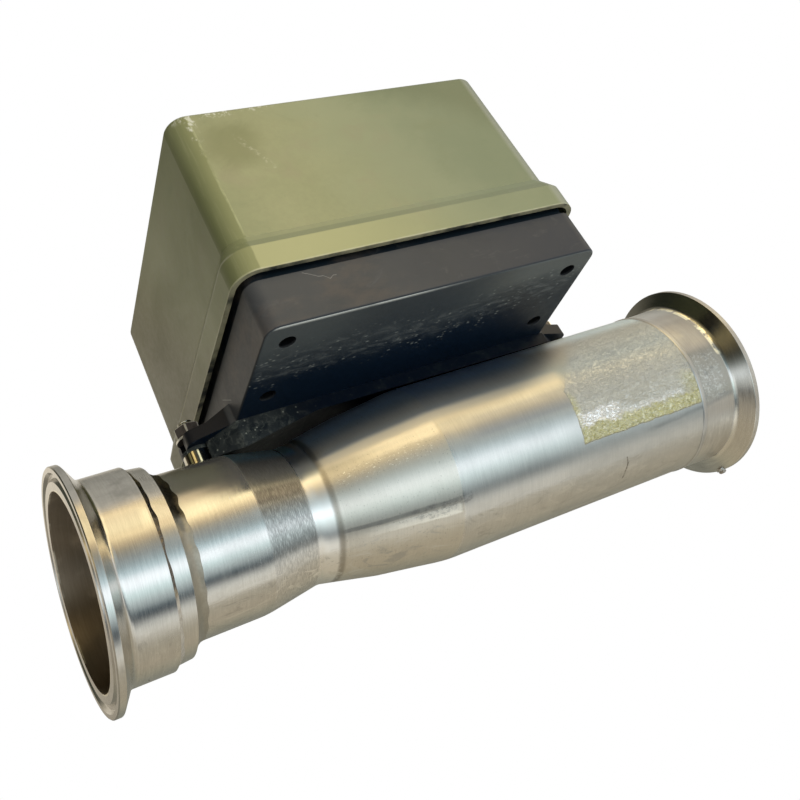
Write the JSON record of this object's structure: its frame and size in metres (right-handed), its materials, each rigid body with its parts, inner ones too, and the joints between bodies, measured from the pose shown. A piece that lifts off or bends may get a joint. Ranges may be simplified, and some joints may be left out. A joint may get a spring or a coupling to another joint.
{
  "type": "flow meter",
  "caption": "In-line hygienic flow meter: a steel measuring tube with clamp ferrules at both ends, a waisted inlet and a square converter box standing on its side.",
  "frame": {"origin": "centre of the inlet ferrule's gasket face, on the pipe axis", "axes": "+X along the pipe from the inlet to the outlet, +Z from the tube up to the converter box, +Y towards the wall with the cable entries"},
  "size_m": [0.302, 0.1705, 0.1931],
  "materials": {
    "ferrule_steel": "brushed round the pipe, satin",
    "ring_steel": "brushed round the pipe, satin",
    "weld_steel": "dull, rippled weld metal",
    "shell_steel": "brushed round the pipe, worn",
    "inner_steel": "plain drawn tube",
    "liner_polymer": "smooth moulded lining",
    "electrode_steel": "polished",
    "insulation": "natural moulded plastic",
    "winding": "taped copper winding",
    "pole_steel": "dark sheet steel",
    "saddle_plastic": "moulded, dusty",
    "stud_steel": "turned, bright",
    "nut_steel": "plain, worn",
    "base_plastic": "moulded, scuffed",
    "gasket_rubber": "matt",
    "cover_plastic": "moulded, satin, chipped edges",
    "screw_steel": "plain",
    "board": "bare board",
    "block_plastic": "moulded",
    "post_brass": "turned",
    "plug_plastic": "moulded"
  },
  "bodies": {
    "root": {"inlet_ferrule": "ferrule_steel", "inlet_weld": "weld_steel", "inlet_ring": "ring_steel", "neck_weld": "weld_steel", "meter_shell": "shell_steel", "outlet_weld": "weld_steel", "outlet_ferrule": "ferrule_steel", "measuring_tube": "inner_steel", "liner": "liner_polymer", "outlet_cone": "inner_steel", "field_coils": "winding", "pole_shoes": "pole_steel", "field_yoke": "pole_steel", "electrodes": "electrode_steel", "electrode_bushes": "insulation", "electrode_nuts": "nut_steel", "saddle": "saddle_plastic", "studs": "stud_steel", "washers": "nut_steel", "nuts": "nut_steel", "converter_base": "base_plastic", "base_gasket": "gasket_rubber", "cover": "cover_plastic", "cover_screws": "screw_steel", "lead_bush": "inner_steel", "lead_nut": "nut_steel", "posts": "post_brass", "circuit_board": "board", "power_block": "block_plastic", "terminal_block": "block_plastic", "entry_plugs": "plug_plastic", "plug_seals": "gasket_rubber"}
  },
  "joints": []
}
